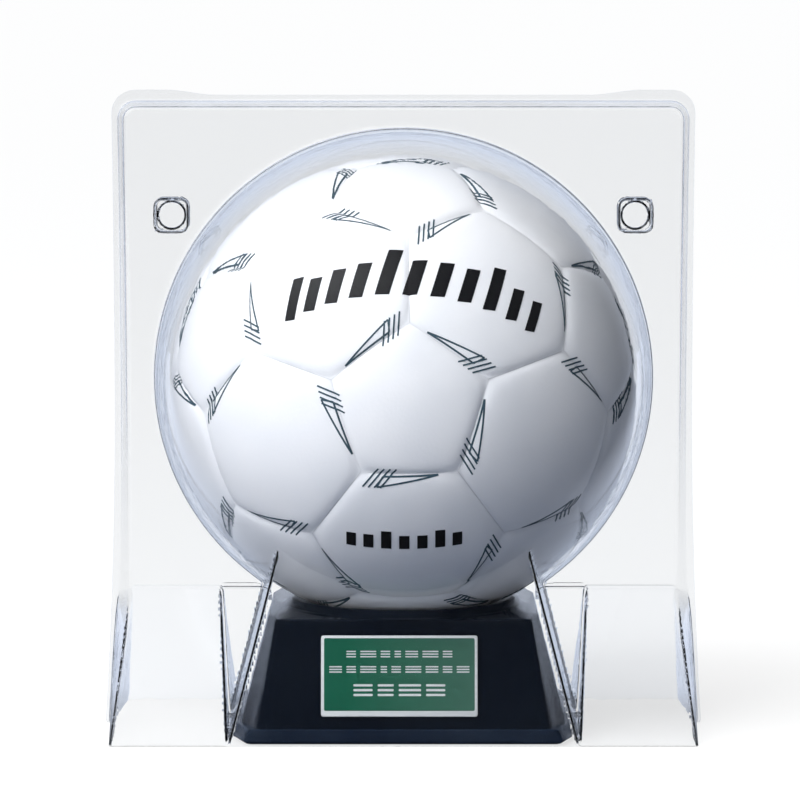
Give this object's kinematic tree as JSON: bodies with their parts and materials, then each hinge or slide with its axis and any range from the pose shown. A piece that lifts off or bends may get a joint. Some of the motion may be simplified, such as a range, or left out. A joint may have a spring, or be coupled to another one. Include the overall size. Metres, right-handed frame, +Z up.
{
  "type": "football display case",
  "caption": "Clear two-half display case whose dome closes round a white football resting on a glossy black stand with a nameplate.",
  "frame": {"origin": "bottom centre of the case, on the surface it stands on", "axes": "+Z up, the front with the nameplate faces -Y, +X to the viewer's right; the halves part at y = 0"},
  "size_m": [0.1926, 0.1592, 0.2043],
  "materials": {
    "clear_sheet": "clear thermoformed plastic sheet, glossy",
    "black_moulding": "glossy injection moulding",
    "plate": "coloured and lacquered metal plate",
    "tape": "double-sided foam tape",
    "pads": "matte",
    "cover": "white synthetic leather, fine grain, satin",
    "lining": "woven cotton and polyester",
    "bladder": "moulded rubber",
    "valve": "moulded rubber"
  },
  "bodies": {
    "stand": {"stand_body": "black_moulding", "stand_base": "black_moulding", "nameplate": "plate", "nameplate_tape": "tape", "non_slip_pad_1": "pads", "non_slip_pad_2": "pads", "non_slip_pad_3": "pads", "non_slip_pad_4": "pads"},
    "front_half": {"front_shell": "clear_sheet"},
    "rear_half": {"rear_shell": "clear_sheet"},
    "ball": {"pentagon_panel_1": "cover", "pentagon_panel_2": "cover", "pentagon_panel_3": "cover", "pentagon_panel_4": "cover", "pentagon_panel_5": "cover", "pentagon_panel_6": "cover", "pentagon_panel_7": "cover", "pentagon_panel_8": "cover", "pentagon_panel_9": "cover", "pentagon_panel_10": "cover", "pentagon_panel_11": "cover", "pentagon_panel_12": "cover", "hexagon_panel_1": "cover", "hexagon_panel_2": "cover", "hexagon_panel_3": "cover", "hexagon_panel_4": "cover", "hexagon_panel_5": "cover", "hexagon_panel_6": "cover", "hexagon_panel_7": "cover", "hexagon_panel_8": "cover", "hexagon_panel_9": "cover", "hexagon_panel_10": "cover", "hexagon_panel_11": "cover", "hexagon_panel_12": "cover", "hexagon_panel_13": "cover", "hexagon_panel_14": "cover", "hexagon_panel_15": "cover", "hexagon_panel_16": "cover", "hexagon_panel_17": "cover", "hexagon_panel_18": "cover", "hexagon_panel_19": "cover", "hexagon_panel_20": "cover", "ball_lining": "lining", "ball_bladder": "bladder", "ball_valve": "valve"}
  },
  "joints": [
    {"name": "front_half_removal", "type": "slide", "parent": "stand", "child": "front_half", "axis": [0, -1, 0], "range_m": [0, 0.12]},
    {"name": "rear_half_removal", "type": "slide", "parent": "stand", "child": "rear_half", "axis": [0, 1, 0], "range_m": [0, 0.12]},
    {"name": "ball_turn", "type": "hinge", "parent": "stand", "child": "ball", "pos_m": [0, 0, 0.1083], "axis": [0, 0, 1], "continuous": true}
  ]
}
